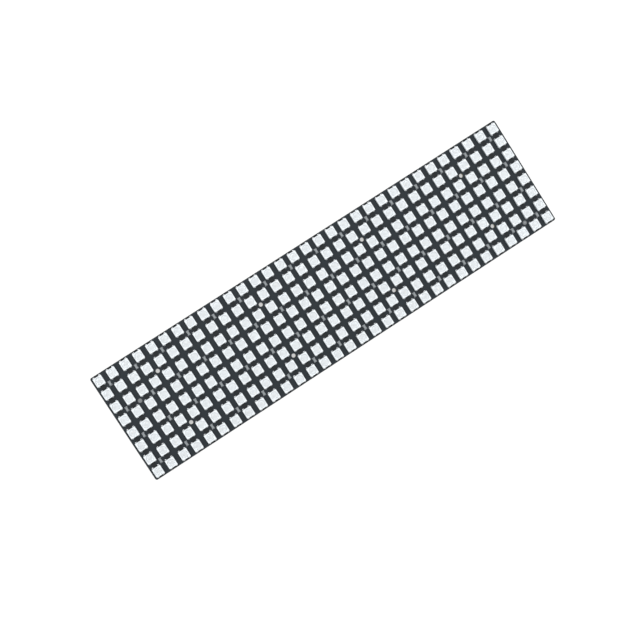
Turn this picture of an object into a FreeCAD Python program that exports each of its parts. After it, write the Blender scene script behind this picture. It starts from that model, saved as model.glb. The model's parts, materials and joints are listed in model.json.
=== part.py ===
import FreeCAD, Part
import math
import os

# Black rigid circuit board with a grid of square RGB LEDs. All lengths are millimetres.
# The origin is the centre of the board's back face. +X runs along the rows, +Z points to the LED side.

# The grid of LEDs. Row 1 is the row with the lowest Y, column 1 the one with the lowest X.
led_columns = 32
led_rows = 8
led_pitch = 8.0

# LED housing: a square block that is a little smaller at the top, with an eight-sided window sunk into it.
# Each inset is how far a side lies further in at the housing's top or at the window's floor.
led_side = 5.0
led_height = 1.57
housing_top_inset = 0.05
window_width = 4.2
window_floor_inset = 0.35
window_depth = 0.75
window_sides = 8

# Circuit board. It stays inside its share of the LED grid, so that boards can be laid side by side.
board_edge_gap = 0.4
board_thickness = 1.6
board_corner_radius = 1.0

# Mounting holes, in the crossings between LEDs. A gap is named by the column or row before it.
hole_diameter = 2.2
first_hole_column = 4
hole_column_step = 8
first_hole_row = 2
hole_row_step = 4

# Chip capacitors, long side across the rows: a ceramic body between two plated ends with their solder.
capacitor_length = 2.0
capacitor_width = 1.25
capacitor_height = 0.85
plated_end_length = 0.4
solder_reach = 0.4

# Fiducial dots of bare tinned copper, in crossings that step along and down the board.
fiducial_diameter = 1.0
fiducial_thickness = 0.05
first_fiducial_column = 2
fiducial_column_step = 28
first_fiducial_row = 5
fiducial_row_step = 4

# Solder pads on the back, flush in pockets of the board. Data pads stand in a column near each end.
pad_thickness = 0.05
data_pad_length = 3.5
data_pad_width = 2.2
data_pad_pitch = 4.0
data_pad_count = 3
data_pad_edge_distance = 3.0
power_pad_length = 4.0
power_pad_width = 6.0
power_pad_pitch = 8.0
power_pad_count = 2

# Worked out from the values above.
board_length = led_columns * led_pitch - 2 * board_edge_gap
board_width = led_rows * led_pitch - 2 * board_edge_gap
data_pad_x = board_length / 2 - data_pad_edge_distance - data_pad_length / 2

UP = FreeCAD.Vector(0, 0, 1)


def grid_point(column, row):
    """The place on the board's front at a column and a row. A half is the gap after the whole number."""
    x = (column - (led_columns + 1) / 2) * led_pitch
    y = (row - (led_rows + 1) / 2) * led_pitch
    return FreeCAD.Vector(x, y, board_thickness)


def crossing(column, row):
    """The crossing of the gap after a column and the gap after a row, on the board's front."""
    return grid_point(column + 0.5, row + 0.5)


def closed_wire(points):
    """A closed outline of straight edges through points."""
    return Part.makePolygon(points + points[:1])


def even_outline(sides, width, z):
    """A regular outline about the Z axis at height z, with the given width across opposite sides."""
    half_turn = 180 / sides
    corner = FreeCAD.Vector(width / 2 / math.cos(math.radians(half_turn)), 0, z)
    return [FreeCAD.Rotation(UP, half_turn * (2 * side + 1)).multVec(corner) for side in range(sides)]


def tapered_block(lower, upper):
    """A closed solid with flat sides between two outlines that have parallel edges."""
    faces = [Part.Face(closed_wire(lower)), Part.Face(closed_wire(upper))]
    for side in range(len(lower)):
        after = (side + 1) % len(lower)
        faces.append(Part.Face(closed_wire([lower[side], lower[after], upper[after], upper[side]])))
    solid = Part.makeSolid(Part.makeShell(faces))
    if solid.Volume < 0:
        solid.reverse()
    return solid


def centred_block(length, width, height):
    """A block that stands on the origin."""
    return Part.makeBox(length, width, height, FreeCAD.Vector(-length / 2, -width / 2, 0))


def copies(solid, places):
    """One copy of a solid at each place."""
    return [solid.translated(place) for place in places]


def led_housing():
    """One LED housing that stands on the origin, with its window open at the top."""
    top_side = led_side - 2 * housing_top_inset
    body = tapered_block(even_outline(4, led_side, 0), even_outline(4, top_side, led_height))
    floor_width = window_width - 2 * window_floor_inset
    floor = even_outline(window_sides, floor_width, led_height - window_depth)
    mouth = even_outline(window_sides, window_width, led_height)
    return body.cut(tapered_block(floor, mouth))


def capacitor_body():
    """The ceramic between the plated ends of one capacitor."""
    return centred_block(capacitor_width, capacitor_length - 2 * plated_end_length, capacitor_height)


def capacitor_end():
    """The plated end of one capacitor on the +Y side, with the slope of solder that runs down to its pad."""
    outer_y = capacitor_length / 2
    inner_y = outer_y - plated_end_length
    outline = [(inner_y, 0), (outer_y + solder_reach, 0), (outer_y, capacitor_height), (inner_y, capacitor_height)]
    side = Part.Face(closed_wire([FreeCAD.Vector(-capacitor_width / 2, y, z) for y, z in outline]))
    return side.extrude(FreeCAD.Vector(capacitor_width, 0, 0))


def capacitor_row_places(pair):
    """The middle of every group of two by two LEDs in one pair of rows."""
    return [crossing(column, 2 * pair - 1) for column in range(1, led_columns, 2)]


def hole_places():
    """The centres of the mounting holes on the board's front."""
    columns = range(first_hole_column, led_columns, hole_column_step)
    rows = range(first_hole_row, led_rows, hole_row_step)
    return [crossing(column, row) for column in columns for row in rows]


def fiducial_places():
    """The places of the fiducial dots on the board's front."""
    columns = range(first_fiducial_column, led_columns, fiducial_column_step)
    rows = range(first_fiducial_row, 0, -fiducial_row_step)
    return [crossing(column, row) for column, row in zip(columns, rows)]


def back_pads(length, width, pitch, count, centre_x, along):
    """Pads in a line through centre_x on the back of the board, with their outer faces flush with it."""
    pad = centred_block(length, width, pad_thickness)
    middle = FreeCAD.Vector(centre_x, 0, 0)
    return copies(pad, [middle + along * (pitch * (place - (count - 1) / 2)) for place in range(count)])


def circuit_board(pads):
    """The board with its round corners, mounting holes and the pockets of the solder pads."""
    board = centred_block(board_length, board_width, board_thickness)
    upright = [edge for edge in board.Edges if abs(edge.tangentAt(edge.FirstParameter).z) > 0.5]
    board = board.makeFillet(board_corner_radius, upright)
    drill = Part.makeCylinder(hole_diameter / 2, board_thickness, FreeCAD.Vector(), -UP)
    return board.cut(copies(drill, hole_places()) + pads)


def save(name, solids):
    """Write the solids of one named piece."""
    Part.makeCompound(solids).exportStep("parts/" + name + ".step")


def main():
    """Build every piece and write it to its own file."""
    os.makedirs("parts", exist_ok=True)
    across = FreeCAD.Vector(0, 1, 0)
    along = FreeCAD.Vector(1, 0, 0)
    data_pad = (data_pad_length, data_pad_width, data_pad_pitch, data_pad_count)
    input_pads = back_pads(*data_pad, -data_pad_x, across)
    output_pads = back_pads(*data_pad, data_pad_x, across)
    power_pads = back_pads(power_pad_length, power_pad_width, power_pad_pitch, power_pad_count, 0, along)
    save("input_pads", input_pads)
    save("output_pads", output_pads)
    save("power_pads", power_pads)
    save("circuit_board", [circuit_board(input_pads + output_pads + power_pads)])

    housing = led_housing()
    for row in range(1, led_rows + 1):
        places = [grid_point(column, row) for column in range(1, led_columns + 1)]
        save("led_housings_row_" + str(row), copies(housing, places))

    body = capacitor_body()
    far_end = capacitor_end()
    near_end = far_end.mirror(FreeCAD.Vector(), across)
    for pair in range(1, led_rows // 2 + 1):
        places = capacitor_row_places(pair)
        save("capacitor_bodies_row_" + str(pair), copies(body, places))
        save("capacitor_ends_row_" + str(pair), copies(far_end, places) + copies(near_end, places))

    dot = Part.makeCylinder(fiducial_diameter / 2, fiducial_thickness)
    save("fiducial_dots", copies(dot, fiducial_places()))


main()
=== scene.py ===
"""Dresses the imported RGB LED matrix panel: LED packages, capacitors, board finish, stage, lights and camera.

Sizes are in millimetres until a mesh is made, and every mesh is in metres in the frame of the CAD model.
"""

from __future__ import annotations

import json
import logging
import math
import random
from dataclasses import dataclass, replace
from enum import Enum

import bpy
import bmesh
import numpy as np
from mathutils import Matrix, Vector

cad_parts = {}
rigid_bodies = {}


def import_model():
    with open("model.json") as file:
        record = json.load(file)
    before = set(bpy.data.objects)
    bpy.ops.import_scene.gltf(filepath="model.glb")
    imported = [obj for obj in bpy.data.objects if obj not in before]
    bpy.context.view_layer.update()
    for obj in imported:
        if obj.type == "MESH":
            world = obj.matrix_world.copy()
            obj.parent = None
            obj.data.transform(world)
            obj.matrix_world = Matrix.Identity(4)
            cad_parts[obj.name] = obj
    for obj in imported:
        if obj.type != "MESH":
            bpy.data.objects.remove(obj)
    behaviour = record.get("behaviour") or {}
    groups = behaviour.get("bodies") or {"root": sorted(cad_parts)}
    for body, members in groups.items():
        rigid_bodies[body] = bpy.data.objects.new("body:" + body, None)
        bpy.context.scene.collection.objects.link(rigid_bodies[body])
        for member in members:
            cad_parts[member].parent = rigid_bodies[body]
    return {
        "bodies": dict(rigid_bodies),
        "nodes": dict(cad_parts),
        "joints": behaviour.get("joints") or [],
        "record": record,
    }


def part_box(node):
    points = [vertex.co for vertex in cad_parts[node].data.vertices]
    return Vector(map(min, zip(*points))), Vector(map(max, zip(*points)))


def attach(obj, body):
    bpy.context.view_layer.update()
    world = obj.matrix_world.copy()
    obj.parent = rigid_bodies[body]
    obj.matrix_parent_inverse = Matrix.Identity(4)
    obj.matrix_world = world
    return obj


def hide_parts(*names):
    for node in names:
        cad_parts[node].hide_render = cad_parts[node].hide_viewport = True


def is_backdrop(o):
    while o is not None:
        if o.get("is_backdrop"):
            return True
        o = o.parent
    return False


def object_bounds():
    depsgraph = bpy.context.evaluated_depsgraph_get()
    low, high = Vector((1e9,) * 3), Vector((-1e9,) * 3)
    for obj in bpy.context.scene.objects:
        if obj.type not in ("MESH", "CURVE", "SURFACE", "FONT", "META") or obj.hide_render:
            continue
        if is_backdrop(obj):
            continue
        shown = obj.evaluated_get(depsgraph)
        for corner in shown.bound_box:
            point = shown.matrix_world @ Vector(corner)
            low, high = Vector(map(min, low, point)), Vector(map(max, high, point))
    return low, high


METRE = 0.001
BODY = "root"

# An edge is drawn sharp where it bends by more than this, in degrees.
SHARP_EDGE = 32.0

# How far a form reaches into what carries it, in millimetres, so that no slit shows between them.
SINK = 0.01

# The sockets of a Mix node share their names, so its share, its two colours and its result go by number.
MIX_SHARE, MIX_FIRST, MIX_SECOND, MIX_RESULT = 0, 6, 7, 2

Tree = bpy.types.NodeTree
Socket = bpy.types.NodeSocket
Material = bpy.types.Material
Pair = tuple[float, float]
Point = tuple[float, float, float]
Ring = list[Point]
Flat = list[Pair]


def linear(hex_colour: str) -> tuple[float, float, float, float]:
    """Turn an sRGB hex colour, "#RRGGBB", into linear light with an alpha of 1."""
    channels = [int(hex_colour[start : start + 2], 16) / 255 for start in (1, 3, 5)]
    return (*(c / 12.92 if c <= 0.04045 else ((c + 0.055) / 1.055) ** 2.4 for c in channels), 1.0)


def empty_tree(owner: Material | bpy.types.World) -> Tree:
    """Clear the nodes of a material or the world.

    Args:
        owner: The material or the world.

    Returns:
        Its node tree.
    """
    owner.use_nodes = True
    owner.node_tree.nodes.clear()
    return owner.node_tree


def add_node(tree: Tree, kind: str, inputs: dict | None = None, **settings) -> bpy.types.Node:
    """Add one shader node with its settings, constants and links.

    Args:
        tree: The node tree of a material or the world.
        kind: The node's type name.
        inputs: Input name or number, to a constant or to the output socket that feeds it.
        settings: Attributes of the node.

    Returns:
        The new node.
    """
    node = tree.nodes.new(kind)
    for name, value in settings.items():
        setattr(node, name, value)
    for name, value in (inputs or {}).items():
        if isinstance(value, Socket):
            tree.links.new(value, node.inputs[name])
        else:
            node.inputs[name].default_value = value
    return node


class Slot(Enum):
    """The record's material slots, which two kinds of new pieces list beside their own finish; nothing reads
    them.
    """

    MASK = "solder_mask"
    HOUSING = "led_housing"
    CERAMIC = "capacitor_ceramic"
    TINNED_END = "tinned_ends"


@dataclass(frozen=True)
class Finish:
    """One real material and how its surface was made.

    The colour wanders between two hex colours over patches of a real size, and the roughness wanders with
    it. The bump is a fine grain, given by its size and its depth. A real grain that is too fine to show is
    drawn coarser.
    """

    name: str
    colours: tuple[str, str]
    patch_mm: float
    roughness: Pair
    grain_mm: Pair
    metallic: float = 0.0
    transmission: float = 0.0
    ior: float = 1.5
    specular: float = 0.5

    def base_colour(self, tree: Tree, patches: Socket) -> Socket:
        """Add the colour, which wanders with the patches.

        Args:
            tree: The material's node tree.
            patches: The slow change over the surface, from 0 to 1.

        Returns:
            The base colour.
        """
        first, second = (linear(colour) for colour in self.colours)
        inputs = {MIX_SHARE: patches, MIX_FIRST: first, MIX_SECOND: second}
        return add_node(tree, "ShaderNodeMix", inputs, data_type="RGBA").outputs[MIX_RESULT]

    def material(self) -> Material:
        """Build the material.

        Returns:
            The finished material.
        """
        material = bpy.data.materials.new(self.name)
        tree = empty_tree(material)
        place = add_node(tree, "ShaderNodeTexCoord").outputs["Object"]
        slow = {"Vector": place, "Scale": 1 / (self.patch_mm * METRE)}
        patches = add_node(tree, "ShaderNodeTexNoise", slow).outputs["Fac"]
        fine = {"Vector": place, "Scale": 1 / (self.grain_mm[0] * METRE)}
        grain = add_node(tree, "ShaderNodeTexNoise", fine).outputs["Fac"]
        relief = {"Strength": 1.0, "Distance": self.grain_mm[1] * METRE, "Height": grain}
        spread = {"Value": patches, "To Min": self.roughness[0], "To Max": self.roughness[1]}
        inputs = {
            "Base Color": self.base_colour(tree, patches),
            "Roughness": add_node(tree, "ShaderNodeMapRange", spread).outputs["Result"],
            "Normal": add_node(tree, "ShaderNodeBump", relief).outputs["Normal"],
            "Metallic": self.metallic,
            "Transmission Weight": self.transmission,
            "Specular IOR Level": self.specular,
        }
        if not self.metallic:
            inputs["IOR"] = self.ior
        surface = add_node(tree, "ShaderNodeBsdfPrincipled", inputs)
        add_node(tree, "ShaderNodeOutputMaterial", {"Surface": surface.outputs["BSDF"]})
        return material


@dataclass(frozen=True)
class MaskedLaminate(Finish):
    """Matt solder mask, screened and cured over copper on glass epoxy, with bare laminate at every cut edge.

    The mask is painted deeper black in a small patch midway between two LEDs of a column, as painted shade
    where the two LEDs shade the board. At the outline and in the holes the sawn glass epoxy shows its layers.
    """

    # Painted shade: the mask is drawn deeper black in a patch midway between two LEDs of a column.
    shade_patch_colour: str = "#091115"
    shade_patch_mm: Pair = (2.3, 2.5)
    shade_patch_blur_mm: float = 0.16
    pitch_mm: float = 8.0
    edge_colours: tuple[str, str] = ("#8F8768", "#615B43")
    edge_lean: float = 0.5
    layer_mm: float = 0.12
    layer_length_mm: float = 2.0
    layer_detail: float = 3.0

    # Painted shade: where the mask is drawn deeper black, between two LEDs of a column.
    def windows(self, tree: Tree, place: Socket, lean: Socket) -> Socket:
        """Add the share of painted shade at each point, from 0 on the open mask to 1 in the patch between two
        LEDs.

        Args:
            tree: The material's node tree.
            place: Position on the board.
            lean: Upward part of the surface's normal.

        Returns:
            The share of painted shade, which is 0 everywhere but on the front.
        """
        # These steps turn a position into its distance from the nearest line of LEDs, in pitches.
        steps = (("MULTIPLY", 1 / (self.pitch_mm * METRE)), ("FRACT", 0), ("SUBTRACT", 0.5), ("ABSOLUTE", 0))
        blur = self.shade_patch_blur_mm / self.pitch_mm
        side = self.shade_patch_mm[0] / 2 / self.pitch_mm
        end = 0.5 - self.shade_patch_mm[1] / 2 / self.pitch_mm
        axes = add_node(tree, "ShaderNodeSeparateXYZ", {0: place}).outputs
        front = {0: lean, 1: self.edge_lean}
        share = add_node(tree, "ShaderNodeMath", front, operation="GREATER_THAN").outputs[0]
        for axis, outside, inside in (("X", side + blur, side), ("Y", end - blur, end)):
            line = axes[axis]
            for operation, value in steps:
                line = add_node(tree, "ShaderNodeMath", {0: line, 1: value}, operation=operation).outputs[0]
            border = {"Value": line, "From Min": outside, "From Max": inside}
            near = add_node(tree, "ShaderNodeMapRange", border, interpolation_type="SMOOTHSTEP")
            both = {0: share, 1: near.outputs["Result"]}
            share = add_node(tree, "ShaderNodeMath", both, operation="MULTIPLY").outputs[0]
        return share

    def layers(self, tree: Tree, place: Socket) -> Socket:
        """Add the colour of the sawn glass epoxy.

        Args:
            tree: The material's node tree.
            place: Position on the board.

        Returns:
            The colour, in level streaks.
        """
        # The glass layers are drawn coarser than the real 0.04 mm yarns, so that they show.
        squeeze = self.layer_mm / self.layer_length_mm
        along = add_node(tree, "ShaderNodeMapping", {"Vector": place, "Scale": (squeeze, squeeze, 1.0)})
        streaks = {"Vector": along.outputs["Vector"], "Scale": 1 / (self.layer_mm * METRE)}
        streaks["Detail"] = self.layer_detail
        yarns = add_node(tree, "ShaderNodeTexNoise", streaks).outputs["Fac"]
        first, second = (linear(colour) for colour in self.edge_colours)
        sawn = {MIX_SHARE: yarns, MIX_FIRST: first, MIX_SECOND: second}
        return add_node(tree, "ShaderNodeMix", sawn, data_type="RGBA").outputs[MIX_RESULT]

    def base_colour(self, tree: Tree, patches: Socket) -> Socket:
        """Add the colour of the mask, of its painted shade between LEDs, and of the cut edge, where the
        surface is upright.

        Args:
            tree: The material's node tree.
            patches: The slow change over the surface, from 0 to 1.

        Returns:
            The base colour.
        """
        place = add_node(tree, "ShaderNodeTexCoord").outputs["Object"]
        surface = add_node(tree, "ShaderNodeNewGeometry").outputs["True Normal"]
        lean = add_node(tree, "ShaderNodeSeparateXYZ", {0: surface}).outputs["Z"]
        level = add_node(tree, "ShaderNodeMath", {0: lean}, operation="ABSOLUTE").outputs[0]
        cut = add_node(tree, "ShaderNodeMath", {0: level, 1: self.edge_lean}, operation="LESS_THAN")
        # The painted shade between two LEDs of a column darkens the mask here.
        window = (self.windows(tree, place, lean), linear(self.shade_patch_colour))
        edge = (cut.outputs[0], self.layers(tree, place))
        colour = super().base_colour(tree, patches)
        for share, other in (window, edge):
            inputs = {MIX_SHARE: share, MIX_FIRST: colour, MIX_SECOND: other}
            colour = add_node(tree, "ShaderNodeMix", inputs, data_type="RGBA").outputs[MIX_RESULT]
        return colour


# Epoxy solder mask, screened and cured matt: a bluish black with a low, wide sheen, over a faint grain.
MASK = MaskedLaminate(
    name="solder_mask_matt_on_glass_epoxy", colours=("#0F191F", "#131E25"), patch_mm=6.0,
    roughness=(0.46, 0.58), specular=0.30, grain_mm=(0.22, 0.006),
)

# Polyphthalamide, injection moulded: a clean bluish white with a satin skin.
HOUSING = Finish(
    name="polyphthalamide_white_moulded", colours=("#DDE2E5", "#D7DDE1"), patch_mm=3.0,
    roughness=(0.34, 0.46), grain_mm=(0.12, 0.004), ior=1.52,
)

# Silicone with a light scattering filler, dispensed and cured: milky and smooth, with pale shapes under it.
SILICONE = Finish(
    name="silicone_milky_cured", colours=("#F4F9FC", "#EEF4F9"), patch_mm=1.5,
    roughness=(0.10, 0.18), grain_mm=(0.5, 0.004), transmission=0.45, ior=1.41,
)

# Copper strip, stamped and silver plated: bright and even.
SILVER = Finish(
    name="silver_plated_strip_stamped", colours=("#EBEBE8", "#DADAD6"), patch_mm=0.8,
    roughness=(0.18, 0.30), grain_mm=(0.08, 0.002), metallic=1.0,
)

# Copper strip, bent and tin plated: greyer than silver, with a soft sheen.
TIN = Finish(
    name="tin_plated_strip_bent", colours=("#BDBFC1", "#A9ACAF"), patch_mm=0.6,
    roughness=(0.28, 0.42), grain_mm=(0.07, 0.003), metallic=1.0,
)

# Tin-silver-copper solder, reflowed: shiny, with the dull crystals of lead-free solder.
SOLDER = Finish(
    name="solder_tin_silver_reflowed", colours=("#D6D8DA", "#B9BCBF"), patch_mm=0.25,
    roughness=(0.16, 0.40), grain_mm=(0.10, 0.006), metallic=1.0,
)

# The same solder where it cooled more slowly, beside the capacitors: grey and grainy.
GRAINY_SOLDER = Finish(
    name="solder_tin_silver_slowly_cooled", colours=("#A6A9AC", "#8C9093"), patch_mm=0.2,
    roughness=(0.40, 0.58), grain_mm=(0.08, 0.006), metallic=1.0,
)

# Tin, plated in a drum over the ends of a chip: a duller grey than the strip, with no clear mirror image.
BARREL_TIN = Finish(
    name="tin_barrel_plated_on_ceramic", colours=("#8F9498", "#7F8488"), patch_mm=0.5,
    roughness=(0.42, 0.56), grain_mm=(0.06, 0.003), metallic=1.0,
)

# Barium titanate, pressed and sintered: cool grey and dull, with a fine speckle.
CERAMIC = Finish(
    name="barium_titanate_ceramic_sintered", colours=("#868B8E", "#757A7D"), patch_mm=0.18,
    roughness=(0.50, 0.66), grain_mm=(0.06, 0.003),
)

# Glass epoxy where the mask is left out: a dull grey, with the weave just showing.
BARE_LAMINATE = Finish(
    name="glass_epoxy_bare", colours=("#707274", "#606264"), patch_mm=0.4,
    roughness=(0.40, 0.55), grain_mm=(0.25, 0.006),
)

# Copper, levelled with hot tin: a smooth grey metal, with the soft waves that the air knife leaves.
TINNED_COPPER = Finish(
    name="copper_hot_air_tinned", colours=("#8C9093", "#7B7F82"), patch_mm=0.9,
    roughness=(0.20, 0.34), grain_mm=(0.35, 0.010), metallic=1.0,
)

# Silicon, diced and etched: dark blue grey and glossy.
SILICON = Finish(
    name="silicon_chip_diced", colours=("#4E535A", "#3B4048"), patch_mm=0.12,
    roughness=(0.18, 0.28), grain_mm=(0.05, 0.001), ior=1.9,
)

# Gold, drawn to wire: smooth and warm yellow.
GOLD = Finish(
    name="gold_wire_drawn", colours=("#E8C37A", "#D9B060"), patch_mm=0.3,
    roughness=(0.15, 0.25), grain_mm=(0.05, 0.001), metallic=1.0,
)

# Compound semiconductor, scribed and broken: glossy, and brown while the red die is unlit.
RED_DIE = Finish(
    name="gallium_phosphide_die", colours=("#6E5348", "#5B443B"), patch_mm=0.1,
    roughness=(0.15, 0.25), grain_mm=(0.05, 0.001), ior=2.2,
)

# The clear crystals of the other two dies: glossy, and pale green or pale blue while unlit.
GREEN_DIE = replace(RED_DIE, name="gallium_nitride_die_green", colours=("#B9C3A4", "#A5B08F"))
BLUE_DIE = replace(RED_DIE, name="gallium_nitride_die_blue", colours=("#B4BDBE", "#9FA9AC"))


class Die(Enum):
    """The dies of one LED: the name of the piece that holds them, their finish, and their place along Y."""

    RED = ("red_dies", RED_DIE, 0.45)
    GREEN = ("green_dies", GREEN_DIE, 0.0)
    BLUE = ("blue_dies", BLUE_DIE, -0.35)

    def __init__(self, piece: str, finish: Finish, y: float) -> None:
        """Name the values of one die."""
        self.piece, self.finish, self.y = piece, finish, y


@dataclass(frozen=True)
class Place:
    """A spot in millimetres and a turn about +Z in degrees."""

    x: float = 0.0
    y: float = 0.0
    z: float = 0.0
    turn: float = 0.0


# What two opposite sides have alike is modelled on one of them and copied to both.
BOTH_WAYS = [Place(), Place(turn=180.0)]


class Shape:
    """Points and faces of one form in millimetres. It grows by lofts and by placed copies of other shapes."""

    def __init__(self) -> None:
        """Start with no points."""
        self.points = np.zeros((0, 3))
        self.faces: list[tuple[int, ...]] = []

    def loft(self, rings: list[Ring]) -> Shape:
        """Join closed rings one after the other, and close the first and the last.

        Args:
            rings: Rings with equal numbers of points.

        Returns:
            This shape.
        """
        count = len(rings[0])
        first = len(self.points)
        last = first + (len(rings) - 1) * count
        self.points = np.vstack([self.points, *rings])
        for start in range(first, last, count):
            for side in range(count):
                after = (side + 1) % count
                self.faces.append((start + side, start + after, start + count + after, start + count + side))
        self.faces.append(tuple(reversed(range(first, first + count))))
        self.faces.append(tuple(range(last, last + count)))
        return self

    def put(self, other: Shape, places: list[Place]) -> Shape:
        """Add a copy of another shape at every place.

        Args:
            other: The shape to copy.
            places: Where its origin goes, and how far it turns.

        Returns:
            This shape.
        """
        for place in places:
            first = len(self.points)
            cosine = math.cos(math.radians(place.turn))
            sine = math.sin(math.radians(place.turn))
            spin = np.array([[cosine, sine, 0], [-sine, cosine, 0], [0, 0, 1]])
            moved = other.points @ spin + np.array([place.x, place.y, place.z])
            self.points = np.vstack([self.points, moved])
            self.faces += [tuple(first + corner for corner in face) for face in other.faces]
        return self


def circle(radius: float, z: float, count: int) -> Ring:
    """A level ring of points about the Z axis, counter-clockwise from +X."""
    turns = [2 * math.pi * step / count for step in range(count)]
    return [(radius * math.cos(turn), radius * math.sin(turn), z) for turn in turns]


def soft_rectangle(
    width: float, depth: float, corner: float, z: float, per_corner: int = 2, per_side: int = 1
) -> Ring:
    """A level rectangle with round corners.

    Args:
        width: Size along X.
        depth: Size along Y.
        corner: Corner radius.
        z: Height.
        per_corner: Steps on each round corner.
        per_side: Steps on each half of a side.

    Returns:
        The points, counter-clockwise from the middle of the +X side.
    """
    ring: Ring = []
    for quarter in range(4):
        along, across = (width / 2, depth / 2) if quarter % 2 == 0 else (depth / 2, width / 2)
        points = [(along, (across - corner) * step / per_side) for step in range(per_side)]
        for step in range(per_corner + 1):
            turn = math.pi / 2 * step / per_corner
            rise, run = corner * (1 - math.sin(turn)), corner * (1 - math.cos(turn))
            points.append((along - run, across - rise))
        points += [((along - corner) * (1 - step / per_side), across) for step in range(1, per_side)]
        turn = math.pi / 2 * quarter
        cosine, sine = round(math.cos(turn)), round(math.sin(turn))
        ring += [(cosine * x - sine * y, sine * x + cosine * y, z) for x, y in points]
    return ring


def soft_block(width: float, depth: float, low: float, high: float, corner: float, edge: float) -> Shape:
    """A block with round upright corners and rounded edges at its top and bottom.

    Args:
        width: Size along X.
        depth: Size along Y.
        low: Height of its underside.
        high: Height of its top.
        corner: Radius of the upright corners.
        edge: Radius of the level edges.

    Returns:
        The block.
    """
    rings = []
    for turn in (0.0, math.pi / 4, math.pi / 2):
        inset = edge * (1 - math.sin(turn))
        z = low + edge * (1 - math.cos(turn))
        rings.append(soft_rectangle(width - 2 * inset, depth - 2 * inset, corner, z))
    rings += [[(x, y, low + high - z) for x, y, z in ring] for ring in reversed(rings)]
    return Shape().loft(rings)


def clipped(outline: Flat, axis: int, cut: float, way: int) -> Flat:
    """Cut a convex outline straight across an axis.

    Args:
        outline: The outline.
        axis: 0 to cut across X, 1 to cut across Y.
        cut: Where the cut is.
        way: 1 to keep the part below the cut, -1 to keep the part above it.

    Returns:
        The outline that is left.
    """
    kept: Flat = []
    for start, end in zip(outline, outline[1:] + outline[:1]):
        before, after = way * (start[axis] - cut), way * (end[axis] - cut)
        if before <= 0:
            kept.append(start)
        if before * after < 0:
            share = before / (before - after)
            kept.append((start[0] + share * (end[0] - start[0]), start[1] + share * (end[1] - start[1])))
    return kept


def make_piece(name: str, shape: Shape, finish: Material) -> bpy.types.Object:
    """Turn a shape into a piece that rides on the board.

    Args:
        name: Name of the piece.
        shape: Its form.
        finish: Its material.

    Returns:
        The piece.
    """
    mesh = bpy.data.meshes.new(name)
    mesh.from_pydata((shape.points * METRE).tolist(), [], shape.faces)
    build = bmesh.new()
    build.from_mesh(mesh)
    bmesh.ops.recalc_face_normals(build, faces=build.faces)
    build.to_mesh(mesh)
    build.free()
    mesh.shade_smooth()
    mesh.set_sharp_from_angle(angle=math.radians(SHARP_EDGE))
    mesh.materials.append(finish)
    piece = bpy.data.objects.new(name, mesh)
    bpy.context.scene.collection.objects.link(piece)
    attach(piece, BODY)
    logging.info("%s: %d triangles", name, sum(len(face) - 2 for face in shape.faces))
    return piece


@dataclass(frozen=True)
class LedGrid:
    """Where the LEDs stand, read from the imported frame, in millimetres."""

    columns: int
    rows: int
    pitch: float
    led_side: float
    led_height: float
    board_top: float
    first: Pair

    @classmethod
    def from_frame(cls, node_names: list[str]) -> LedGrid:
        """Read the grid from the boxes of the LED rows.

        Args:
            node_names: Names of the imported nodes.

        Returns:
            The grid.
        """
        low, high = (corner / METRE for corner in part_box("led_housings_row_1"))
        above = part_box("led_housings_row_2")[0] / METRE
        side = high.y - low.y
        pitch = above.y - low.y
        columns = round((high.x - low.x - side) / pitch) + 1
        rows = sum(name.startswith("led_housings_row_") for name in node_names)
        first = (low.x + side / 2, low.y + side / 2)
        return cls(columns, rows, pitch, side, high.z - low.z, low.z, first)

    def place(self, column: float, row: float) -> Place:
        """The place of a column and row, counted from 1 at the lowest X and Y. A half is the gap after it."""
        x, y = (start + (number - 1) * self.pitch for start, number in zip(self.first, (column, row)))
        return Place(x, y, self.board_top)

    def groups(self) -> dict[int, list[Place]]:
        """The middle of every group of two by two LEDs, listed by its pair of rows, counted from 1."""
        gaps = [column + 0.5 for column in range(1, self.columns, 2)]
        return {row // 2: [self.place(gap, row - 0.5) for gap in gaps] for row in range(2, self.rows + 1, 2)}


@dataclass(frozen=True)
class SolderJoint:
    """A hollow slope of solder from an upright metal face down to its pad, towards +Y, in millimetres."""

    width: float
    reach: float = 0.38
    height: float = 0.40
    foot: float = 0.05
    foot_fade: int = 6
    skin: float = 0.004
    flare: float = 0.10
    hollow: float = 2.6
    tip_from: float = 0.75
    tip_narrowing: float = 0.45
    sections: tuple[float, ...] = (0.0, 0.12, 0.28, 0.5, 0.75, 0.93, 1.0)

    def shape(self) -> Shape:
        """Build the joint as a row of arched sections.

        Returns:
            The joint, with its back on the metal face at the origin.
        """
        arch = [(1.0, 0.0), (0.97, 0.5), (0.75, 0.9), (0.0, 1.0), (-0.75, 0.9), (-0.97, 0.5), (-1.0, 0.0)]
        rings = []
        for share in self.sections:
            tip = max(0.0, share - self.tip_from) / (1 - self.tip_from)
            flared = self.width / 2 * (1 + self.flare * math.sin(math.pi * share))
            half = flared * (1 - self.tip_narrowing * tip)
            slope = (self.height - self.foot) * (1 - share) ** self.hollow
            top = slope + self.foot * (1 - share**self.foot_fade) + self.skin
            rings.append([(half * x, self.reach * share, top * z) for x, z in arch])
        return Shape().loft(rings)


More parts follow.
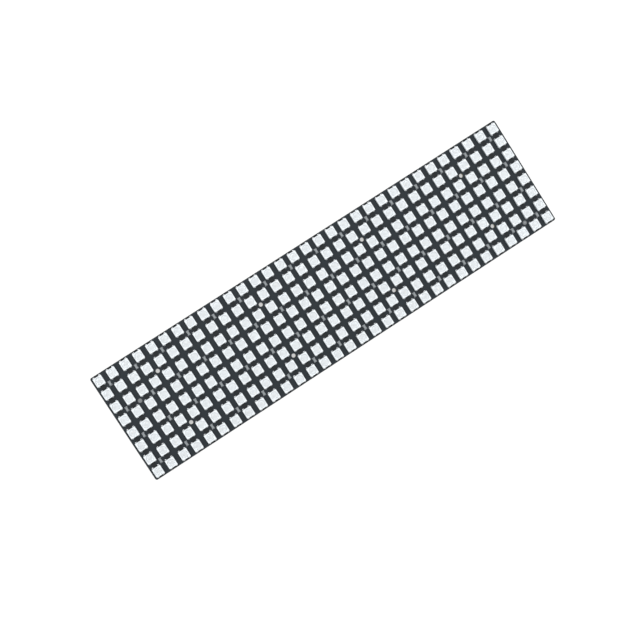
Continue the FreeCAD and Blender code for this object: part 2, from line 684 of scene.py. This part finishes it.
@dataclass(frozen=True)
class LedPackage:
    """The outside of one square LED that stands on the origin, in millimetres.

    A white housing with a round window and one notched corner, the milky fill in the window, and four tinned
    terminals soldered to the board.
    """

    side: float
    height: float
    corner: float = 0.12
    parting_height: float = 0.62
    foot_inset: float = 0.03
    top_inset: float = 0.05
    top_edge: float = 0.05
    notch: float = 0.55
    notch_floor: float = 1.0
    notch_step: float = 0.02
    window_radius: float = 2.1
    window_floor_radius: float = 1.75
    window_depth: float = 0.75
    window_lip: float = 0.04
    window_points: int = 48
    fill_gap: float = 0.015
    fill_below_rim: float = 0.07
    fill_sag: float = 0.07
    fill_rings: tuple[float, ...] = (1.0, 0.96, 0.8, 0.5, 0.2)
    terminal_width: float = 0.95
    terminal_offset: float = 1.65
    terminal_out: float = 0.12
    terminal_root: float = 0.08
    terminal_lift: float = 0.02
    terminal_bend: float = 0.06
    terminal_height: float = 0.62
    joint_overlap: float = 0.02

    @property
    def floor(self) -> float:
        """Height of the window's floor."""
        return self.height - self.window_depth

    def outline(self, side: float, z: float, notched: bool) -> Ring:
        """The housing's outline at one height.

        Args:
            side: Width of the square.
            z: Height.
            notched: True where the corner that marks the first terminal is cut off.

        Returns:
            The ring, with as many points as the window.
        """
        # A quarter of the ring has three runs of steps: half a side, the corner and half a side.
        steps = self.window_points // 12
        ring = soft_rectangle(side, side, self.corner, z, steps, steps)
        if not notched:
            return ring
        start = self.window_points // 2 + steps
        half = side / 2
        for step in range(steps + 1):
            share = step / steps
            ring[start + step] = (-half + self.notch * share, -half + self.notch * (1 - share), z)
        for step in range(steps):
            reach = (half - self.notch) * step / steps
            ring[start - steps + step] = (-half, -reach, z)
            ring[start + 2 * steps - step] = (-reach, -half, z)
        return ring

    def housing(self) -> Shape:
        """Build the housing from its foot up, then over the rim and down into its window.

        Returns:
            The housing.
        """
        waist = self.side - self.top_inset
        top_side = self.side - 2 * self.top_inset
        rings = [
            self.outline(self.side - 2 * self.foot_inset, 0, False),
            self.outline(self.side, self.parting_height, False),
            self.outline(waist, self.notch_floor, False),
            self.outline(waist, self.notch_floor + self.notch_step, True),
            self.outline(top_side, self.height - self.top_edge, True),
            self.outline(top_side - 2 * self.top_edge, self.height, True),
        ]
        lip = (self.window_radius + self.window_lip, self.height)
        wall = (self.window_radius, self.height - self.window_lip)
        floor = (self.window_floor_radius, self.floor)
        return Shape().loft(rings + [circle(*level, self.window_points) for level in (lip, wall, floor)])

    def wall_radius(self, z: float) -> float:
        """Radius of the window's wall at a height above the board."""
        share = (z - self.floor) / (self.window_depth - self.window_lip)
        return self.window_floor_radius + share * (self.window_radius - self.window_floor_radius)

    def fill(self) -> Shape:
        """Build the silicone fill: it keeps to the wall and sags a little in the middle.

        Returns:
            The fill.
        """
        rim = self.height - self.fill_below_rim
        low = self.floor + self.fill_gap
        edge = self.wall_radius(rim) - self.fill_gap
        rings = [circle(self.wall_radius(low) - self.fill_gap, low, self.window_points)]
        for share in self.fill_rings:
            sag = self.fill_sag * (1 - share**2) ** 0.5
            rings.append(circle(edge * share, rim - sag, self.window_points))
        return Shape().loft(rings)

    def terminals(self) -> Shape:
        """Build the four terminals, bent down in front of the housing.

        Returns:
            The terminals.
        """
        root = self.side / 2 - self.terminal_root
        out = self.side / 2 + self.terminal_out
        half = self.terminal_width / 2
        low, high, bend = self.terminal_lift, self.terminal_height, self.terminal_bend
        profile = [(root, low), (out, low), (out, high - bend), (out - bend, high), (root, high)]
        pair = Shape()
        for middle in (-self.terminal_offset, self.terminal_offset):
            pair.loft([[(x, y, z) for y, z in profile] for x in (middle + half, middle - half)])
        return Shape().put(pair, BOTH_WAYS)

    def joints(self) -> Shape:
        """Build the four solder joints.

        Returns:
            The joints.
        """
        joint = SolderJoint(self.terminal_width).shape()
        start = self.side / 2 + self.terminal_out - self.joint_overlap
        feet = [Place(middle, start) for middle in (-self.terminal_offset, self.terminal_offset)]
        return Shape().put(Shape().put(joint, feet), BOTH_WAYS)


@dataclass(frozen=True)
class LedInside:
    """What lies on the floor of one LED's window, under the fill, in millimetres.

    A lead frame of four pads, parted by bare strips. The large left pad carries the driver chip and the large
    right one the dies. Bond wires run from the chip to the dies and to the pads.
    """

    floor: float
    floor_radius: float
    rim: float = 0.06
    rim_points: int = 20
    half_strip: float = 0.09
    strip_x: float = 0.35
    strip_y: float = 0.62
    frame_height: float = 0.02
    chip_size: Point = (1.0, 0.8, 0.15)
    chip_x: float = -0.55
    chip_y: float = -0.15
    die_size: Point = (0.26, 0.22, 0.11)
    die_x: float = 0.95
    die_top_share: float = 0.86
    die_bond_x: float = -0.12
    die_bonds_y: Point = (0.12, -0.1, -0.32)
    wire_radius: float = 0.018
    wire_sides: int = 4
    wire_steps: int = 6
    wire_arch: float = 0.22
    wire_fullness: float = 0.8
    pad_wires: tuple[tuple[Pair, Pair], ...] = (
        ((-0.75, 0.18), (-0.85, 0.95)),
        ((-0.4, 0.18), (0.65, 1.05)),
        ((-0.95, -0.48), (-0.9, -1.0)),
        ((-0.3, -0.48), (0.75, -1.15)),
    )

    @property
    def frame_top(self) -> float:
        """Height of the pads' upper face."""
        return self.floor + self.frame_height

    def lead_frame(self) -> Shape:
        """Build the four pads: a disc that one long strip and two short ones part.

        Returns:
            The lead frame.
        """
        disc = [(x, y) for x, y, _ in circle(self.floor_radius - self.rim, 0, self.rim_points)]
        frame = Shape()
        for side in (1, -1):
            half = clipped(disc, 0, self.strip_x - side * self.half_strip, side)
            for way in (1, -1):
                pad = clipped(half, 1, side * self.strip_y - way * self.half_strip, way)
                frame.loft([[(x, y, z) for x, y in pad] for z in (self.floor - SINK, self.frame_top)])
        return frame

    def driver_chip(self) -> Shape:
        """Build the driver chip."""
        return self.block(self.chip_size, self.chip_x, self.chip_y, 1.0)

    def die(self, die: Die) -> Shape:
        """Build one of the dies, which are a little smaller at their top."""
        return self.block(self.die_size, self.die_x, die.y, self.die_top_share)

    def block(self, size: Point, x: float, y: float, top_share: float) -> Shape:
        """Build a block that stands on its pad.

        Args:
            size: Width, depth and height.
            x: Its middle along X.
            y: Its middle along Y.
            top_share: Size of its top as a share of its foot.

        Returns:
            The block.
        """
        width, depth, height = size
        rings = []
        for share, z in ((0.5, self.frame_top), (top_share / 2, self.frame_top + height)):
            right, back = share * width, share * depth
            corners = ((-right, -back), (right, -back), (right, back), (-right, back))
            rings.append([(x + across, y + along, z) for across, along in corners])
        return Shape().loft(rings)

    def bond_wire(self, start: Point, end: Point) -> Shape:
        """Build one bond wire, in an arch.

        Args:
            start: Its bond on the chip.
            end: Its bond on a die or a pad.

        Returns:
            The wire.
        """
        path = []
        for step in range(self.wire_steps + 1):
            share = step / self.wire_steps
            point = Vector(start).lerp(Vector(end), share)
            point.z += self.wire_arch * math.sin(math.pi * share) ** self.wire_fullness
            path.append(point)
        section = circle(self.wire_radius, 0, self.wire_sides)
        rings = []
        for before, point, after in zip(path[:1] + path, path, path[1:] + path[-1:]):
            ahead = (after - before).normalized()
            side = ahead.cross(Vector((0, 0, 1))).normalized()
            top = side.cross(ahead)
            rings.append([tuple(point + across * side - up * top) for across, up, _ in section])
        return Shape().loft(rings)

    def bond_wires(self) -> Shape:
        """Build the bond wires from the chip to every die and to the pads.

        Returns:
            The wires.
        """
        chip_top, die_top = (self.frame_top + size[2] for size in (self.chip_size, self.die_size))
        bonds = zip(self.die_bonds_y, Die)
        ends = [((self.die_bond_x, y, chip_top), (self.die_x, die.y, die_top)) for y, die in bonds]
        ends += [((*start, chip_top), (*end, self.frame_top)) for start, end in self.pad_wires]
        wires = Shape()
        for start, end in ends:
            wires.put(self.bond_wire(start, end), [Place()])
        return wires


@dataclass(frozen=True)
class LedRows:
    """Every LED of the panel: two pieces for each row, and one piece for each kind of small thing.

    The jitter is how far off its mark the placing machine may leave an LED: in X and Y, and in its turn.
    """

    grid: LedGrid
    package: LedPackage
    inside: LedInside
    jitter: Point = (0.03, 0.03, 0.5)
    seed: int = 256

    def places(self) -> dict[int, list[Place]]:
        """Work out where each LED stands.

        Returns:
            The places in each row, by the number of the row.
        """
        draw = random.Random(self.seed)
        rows: dict[int, list[Place]] = {}
        for row in range(1, self.grid.rows + 1):
            rows[row] = []
            for column in range(1, self.grid.columns + 1):
                mark = self.grid.place(column, row)
                shift_x, shift_y, turn = (draw.uniform(-most, most) for most in self.jitter)
                rows[row].append(Place(mark.x + shift_x, mark.y + shift_y, mark.z, turn))
        return rows

    def build(self) -> None:
        """Build and dress every piece."""
        rows = self.places()
        housing, housing_finish = self.package.housing(), HOUSING.material()
        fill, fill_finish = self.package.fill(), SILICONE.material()
        for row, places in rows.items():
            housings = Shape().put(housing, places)
            piece = make_piece(f"moulded_housings_row_{row}", housings, housing_finish)
            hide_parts(f"led_housings_row_{row}")
            make_piece(f"silicone_windows_row_{row}", Shape().put(fill, places), fill_finish)
        small = [
            ("lead_frames", self.inside.lead_frame(), SILVER, None),
            ("driver_chips", self.inside.driver_chip(), SILICON, None),
            ("bond_wires", self.inside.bond_wires(), GOLD, None),
            ("led_terminals", self.package.terminals(), TIN, Slot.TINNED_END),
            ("led_solder_joints", self.package.joints(), SOLDER, Slot.TINNED_END),
        ]
        small += [(die.piece, self.inside.die(die), die.finish, None) for die in Die]
        every = [place for places in rows.values() for place in places]
        for name, shape, finish, slot in small:
            make_piece(name, Shape().put(shape, every), finish.material())


@dataclass(frozen=True)
class Capacitors:
    """The chip capacitors in the middle of every group of two by two LEDs, in millimetres."""

    grid: LedGrid
    length: float = 2.0
    width: float = 1.25
    height: float = 0.85
    ceramic_radii: Pair = (0.08, 0.06)
    end_length: float = 0.42
    end_wrap: float = 0.02
    end_lift: float = 0.01
    end_radii: Pair = (0.1, 0.08)
    joint_height: float = 0.5
    joint_foot: float = 0.03
    joint_corner: float = 0.14
    joint_hollow: float = 1.7
    joint_levels: tuple[float, ...] = (0.0, 0.12, 0.28, 0.5, 0.75, 1.0)
    reach: float = 0.38
    side_reach: float = 0.24
    turn_jitter_deg: float = 1.5
    seed: int = 64

    def ceramic(self) -> Shape:
        """Build the ceramic body of one capacitor.

        Returns:
            The body.
        """
        wrap = self.end_wrap
        size = (self.width - 2 * wrap, self.length - 2 * wrap)
        return soft_block(*size, 2 * wrap, self.height - wrap, *self.ceramic_radii)

    def ends(self) -> Shape:
        """Build the two plated ends, which wrap round the ceramic.

        Returns:
            The ends.
        """
        end = soft_block(self.width, self.end_length, self.end_lift, self.height, *self.end_radii)
        middle = (self.length - self.end_length) / 2
        return Shape().put(end, [Place(0, middle), Place(0, -middle)])

    def joints(self) -> Shape:
        """Build the two solder joints: a hollow slope on three sides of each end, widest on its pad.

        Returns:
            The joints.
        """
        levels = [(1.0, -SINK)]
        for share in self.joint_levels:
            z = self.joint_foot + (self.joint_height - self.joint_foot) * share
            levels.append(((1 - share) ** self.joint_hollow, z))
        inner = self.length / 2 - self.end_length
        rings = []
        for spread, z in levels:
            outer = self.length / 2 - SINK + self.reach * spread
            width = self.width - 2 * SINK + 2 * self.side_reach * spread
            ring = soft_rectangle(width, outer - inner, self.joint_corner, z, per_corner=3)
            rings.append([(x, y + (outer + inner) / 2, z) for x, y, _ in ring])
        return Shape().put(Shape().loft(rings), BOTH_WAYS)

    def build(self) -> None:
        """Build and dress every capacitor, in pieces by their rows, and all their solder as one piece."""
        draw = random.Random(self.seed)
        jitter = self.turn_jitter_deg
        ceramic, ceramic_finish = self.ceramic(), CERAMIC.material()
        ends, end_finish = self.ends(), BARREL_TIN.material()
        joints = Shape()
        for pair, middles in self.grid.groups().items():
            places = [replace(middle, turn=draw.uniform(-jitter, jitter)) for middle in middles]
            bodies = Shape().put(ceramic, places)
            piece = make_piece(f"ceramic_chips_row_{pair}", bodies, ceramic_finish)
            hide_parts(f"capacitor_bodies_row_{pair}")
            caps = Shape().put(ends, places)
            piece = make_piece(f"plated_ends_row_{pair}", caps, end_finish)
            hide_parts(f"capacitor_ends_row_{pair}")
            joints.put(self.joints(), places)
        make_piece("capacitor_solder_joints", joints, GRAINY_SOLDER.material())


@dataclass(frozen=True)
class DataTrack:
    """A data track from the LED that stands on the origin to the next LED of its row, in millimetres.

    It drops off the output pad, turns into a lane beside the gap between the two LEDs, goes up it past both,
    crosses above them and runs onto the input pad. So it is clear of every hole and dot.
    """

    pitch: float
    pad_x: float
    pad_y: float = 2.85
    drop: float = 3.2
    lane: float = 0.9
    lane_low: float = 2.6
    lane_high: float = 2.0
    bend: float = 0.4
    crossed: float = 1.2
    width: float = 0.3
    height: float = 0.03
    top_share: float = 0.8
    longest_mitre: float = 2.0

    def corners(self) -> Flat:
        """The corners of the track's middle line, from output to input.

        Returns:
            The corners.
        """
        gap = self.pitch / 2
        lane = gap - self.lane
        across = self.lane_high + self.bend
        return [
            (self.pad_x, -self.pad_y),
            (self.pad_x, -self.drop),
            (lane, -self.lane_low),
            (lane, self.lane_high),
            (lane + self.bend, across),
            (gap + self.crossed, across),
            (gap + self.crossed + self.bend, self.pad_y),
            (self.pitch - self.pad_x, self.pad_y),
        ]

    def shape(self) -> Shape:
        """Build the track, with mitred corners.

        Returns:
            The track.
        """
        points = self.corners()
        narrow, top = self.top_share, self.height
        section = [(1.0, -SINK), (narrow, top), (-narrow, top), (-1.0, -SINK)]
        legs = [(Vector(end) - Vector(start)).normalized() for start, end in zip(points, points[1:])]
        rings = []
        for (x, y), into, out in zip(points, legs[:1] + legs, legs + legs[-1:]):
            side = (into + out).orthogonal().normalized()
            side *= self.width / 2 / max(1 / self.longest_mitre, side.dot(into.orthogonal()))
            rings.append([(x + share * side.x, y + share * side.y, z) for share, z in section])
        return Shape().loft(rings)


@dataclass(frozen=True)
class Board:
    """The circuit board's own finish, the tracks and vias under its mask, and bare rings round its dots."""

    grid: LedGrid
    track: DataTrack
    nodes: dict[str, bpy.types.Object]
    via_offset: float = 2.15
    via_radius: float = 0.32
    via_ridge: tuple[Pair, ...] = ((1.0, -SINK), (0.9, 0.03), (0.5, 0.03), (0.3, 0.002))
    via_points: int = 12
    dot_radius: float = 0.5
    clearing_radius: float = 1.15
    clearing_height: float = 0.01
    clearing_points: int = 24

    def tracks(self) -> Shape:
        """Build the data tracks along every row.

        Returns:
            The tracks.
        """
        starts = []
        for row in range(1, self.grid.rows + 1):
            starts += [self.grid.place(column, row) for column in range(1, self.grid.columns)]
        return Shape().put(self.track.shape(), starts)

    def vias(self) -> Shape:
        """Build the vias near both ends of every capacitor: low ridges with a dimple where the mask sinks in.

        Returns:
            The vias.
        """
        # The ridge goes by shares of the via's radius, each at its height.
        rings = [circle(self.via_radius * share, z, self.via_points) for share, z in self.via_ridge]
        ends = [Place(0, -self.via_offset), Place(0, self.via_offset)]
        pair = Shape().put(Shape().loft(rings), ends)
        vias = Shape()
        for middles in self.grid.groups().values():
            vias.put(pair, middles)
        return vias

    def clearings(self) -> Shape:
        """Build the round openings of the mask, one round each of the two fiducial dots.

        Returns:
            The openings.
        """
        low, high = (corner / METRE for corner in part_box("fiducial_dots"))
        levels = (-SINK, self.clearing_height)
        disc = Shape().loft([circle(self.clearing_radius, z, self.clearing_points) for z in levels])
        inset, top = self.dot_radius, self.grid.board_top
        dots = [Place(low.x + inset, high.y - inset, top), Place(high.x - inset, low.y + inset, top)]
        return Shape().put(disc, dots)

    def build(self) -> None:
        """Dress the board, its dots and its pads, and build the tracks, vias and clearings."""
        mask = MASK.material()
        tinned = TINNED_COPPER.material()
        dressed = {"circuit_board": mask}
        dressed.update(dict.fromkeys(("fiducial_dots", "input_pads", "output_pads", "power_pads"), tinned))
        for name, finish in dressed.items():
            slots = self.nodes[name].data.materials
            slots.clear()
            slots.append(finish)
            logging.info("%s: dressed", name)
        make_piece("masked_tracks", self.tracks(), mask)
        make_piece("masked_vias", self.vias(), mask)
        make_piece("mask_clearings", self.clearings(), BARE_LAMINATE.material())


@dataclass(frozen=True)
class Softbox:
    """A square lamp that looks at the board, in metres and watts."""

    name: str
    place: Point
    side: float
    power: float

    def build(self) -> None:
        """Hang the lamp."""
        data = bpy.data.lights.new(self.name, "AREA")
        data.size = self.side
        data.energy = self.power
        lamp = bpy.data.objects.new(self.name, data)
        lamp.location = self.place
        lamp.rotation_euler = Vector(self.place).to_track_quat("Z", "Y").to_euler()
        bpy.context.scene.collection.objects.link(lamp)


@dataclass(frozen=True)
class Studio:
    """Plain pale floor, white surroundings, soft lamps and the camera.

    The floor is open under the board, which covers the opening, so that its back can be seen from below.
    Under each hole there is a spot of paper with a weaker glow, painted shade for the board keeping most of
    the light off it.
    """

    low: Vector
    high: Vector
    mounts: list[dict]
    floor_half_width: float = 3.0
    floor_colour: str = "#7C7C7C"
    floor_glow: float = 0.84
    # Painted shade: the glow of the paper spots under the holes, lower than the open floor's.
    shaded_glow: float = 0.50
    floor_overlap: float = 0.0005
    floor_drop: float = 0.00002
    spot_points: int = 32
    sky_light: float = 0.79
    lens_mm: float = 67.5
    sensor_mm: float = 36.0
    near_clip: float = 0.01
    camera_place_mm: Point = (-71.29, 33.26, 632.63)
    camera_turn_deg: Point = (-0.120, -6.665, -32.805)
    lamps: tuple[Softbox, ...] = (
        Softbox("key_lamp", (-0.25, 0.75, 0.95), 1.3, 11.2),
        Softbox("fill_lamp", (0.8, -0.35, 0.8), 1.3, 3.9),
    )

    def seen(self, tree: Tree) -> Socket:
        """Add the share of rays that look at the background: straight, mirrored or through glass.

        Args:
            tree: The node tree.

        Returns:
            1 for such a ray, and 0 for a ray that lights the object.
        """
        rays = add_node(tree, "ShaderNodeLightPath").outputs
        share = rays["Is Camera Ray"]
        for kind in ("Is Glossy Ray", "Is Transmission Ray"):
            either = {0: share, 1: rays[kind]}
            share = add_node(tree, "ShaderNodeMath", either, operation="MAXIMUM").outputs[0]
        return share

    def paper(self, name: str, strength: float) -> Material:
        """Build matt paper that glows for the eye alone: it looks white and throws no light on the board.

        Args:
            name: Name of the material.
            strength: Strength of the glow.

        Returns:
            The material.
        """
        material = bpy.data.materials.new(name)
        tree = empty_tree(material)
        sheet = add_node(tree, "ShaderNodeBsdfDiffuse", {"Color": linear(self.floor_colour)})
        glow = add_node(tree, "ShaderNodeMath", {0: self.seen(tree), 1: strength}, operation="MULTIPLY")
        light = add_node(tree, "ShaderNodeEmission", {"Strength": glow.outputs[0]})
        both = add_node(tree, "ShaderNodeAddShader", {0: sheet.outputs[0], 1: light.outputs[0]})
        add_node(tree, "ShaderNodeOutputMaterial", {"Surface": both.outputs[0]})
        return material

    def hole_spots(self, z: float) -> list[Ring]:
        """Outline the paper that shows through each hole of the record's bolt patterns.

        Args:
            z: Height of the paper, in metres.

        Returns:
            One ring of points for each hole, in metres.
        """
        spots = []
        for mount in self.mounts:
            if mount["kind"] == "bolt_pattern":
                sizes = mount["dims"]
                ring = circle(sizes["hole_r_mm"] * METRE, z, self.spot_points)
                for side_x in (-0.5, 0.5):
                    for side_y in (-0.5, 0.5):
                        x = mount["pos_m"][0] + side_x * sizes["spacing_x_mm"] * METRE
                        y = mount["pos_m"][1] + side_y * sizes["spacing_y_mm"] * METRE
                        spots.append([(x + point[0], y + point[1], z) for point in ring])
        return spots

    def floor(self) -> None:
        """Lay the floor: matt paper that looks white and still takes the shadow, with painted shade in spots
        under the holes.
        """
        half, lap = self.floor_half_width, self.floor_overlap
        z = self.low.z - self.floor_drop
        outer = (-half, -half, half, half)
        inner = (self.low.x + lap, self.low.y + lap, self.high.x - lap, self.high.y - lap)
        corners: Ring = []
        for west, south, east, north in (outer, inner):
            corners += [(west, south, z), (east, south, z), (east, north, z), (west, north, z)]
        faces: list[tuple[int, ...]] = [(0, 1, 5, 4), (1, 2, 6, 5), (2, 3, 7, 6), (3, 0, 4, 7)]
        open_faces = len(faces)
        for spot in self.hole_spots(z):
            faces.append(tuple(range(len(corners), len(corners) + len(spot))))
            corners += spot
        mesh = bpy.data.meshes.new("studio_floor")
        mesh.from_pydata(corners, [], faces)
        mesh.materials.append(self.paper("matt_paper", self.floor_glow))
        # The spots under the holes wear the paper with the weaker glow, as painted shade.
        mesh.materials.append(self.paper("matt_paper_in_the_shade", self.shaded_glow))
        for face in mesh.polygons[open_faces:]:
            face.material_index = 1
        floor = bpy.data.objects.new("studio_floor", mesh)
        bpy.context.scene.collection.objects.link(floor)
        floor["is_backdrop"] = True

    def surroundings(self) -> None:
        """Light the scene evenly from all round, and show white behind it."""
        world = bpy.data.worlds.new("white_studio")
        tree = empty_tree(world)
        share = {"Value": self.seen(tree), "To Min": self.sky_light, "To Max": 1.0}
        strength = add_node(tree, "ShaderNodeMapRange", share)
        sky = {"Color": linear("#FFFFFF"), "Strength": strength.outputs["Result"]}
        light = add_node(tree, "ShaderNodeBackground", sky)
        add_node(tree, "ShaderNodeOutputWorld", {"Surface": light.outputs[0]})
        bpy.context.scene.world = world

    def camera(self) -> None:
        """Set the camera where the photograph was taken from."""
        data = bpy.data.cameras.new("camera")
        data.sensor_width = self.sensor_mm
        data.lens = self.lens_mm
        data.clip_start = self.near_clip
        camera = bpy.data.objects.new("camera", data)
        camera.location = Vector(self.camera_place_mm) * METRE
        camera.rotation_euler = [math.radians(turn) for turn in self.camera_turn_deg]
        bpy.context.scene.collection.objects.link(camera)
        bpy.context.scene.camera = camera

    def build(self) -> None:
        """Build the whole studio."""
        bpy.context.scene.view_settings.view_transform = "Standard"
        self.camera()
        self.floor()
        self.surroundings()
        for lamp in self.lamps:
            lamp.build()
        logging.info("studio: %d lamps", len(self.lamps))


def main() -> None:
    """Build every sub-assembly in order and report each piece."""
    logging.basicConfig(level=logging.INFO, format="%(message)s")
    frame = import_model()
    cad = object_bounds()
    Studio(*cad, frame["record"]["mounts"]).build()
    grid = LedGrid.from_frame(list(frame["nodes"]))
    logging.info("grid: %d columns, %d rows, pitch %.2f mm", grid.columns, grid.rows, grid.pitch)
    package = LedPackage(grid.led_side, grid.led_height)
    Board(grid, DataTrack(grid.pitch, package.terminal_offset), frame["nodes"]).build()
    LedRows(grid, package, LedInside(package.floor, package.window_floor_radius)).build()
    Capacitors(grid).build()


if __name__ == "__main__":
    main()
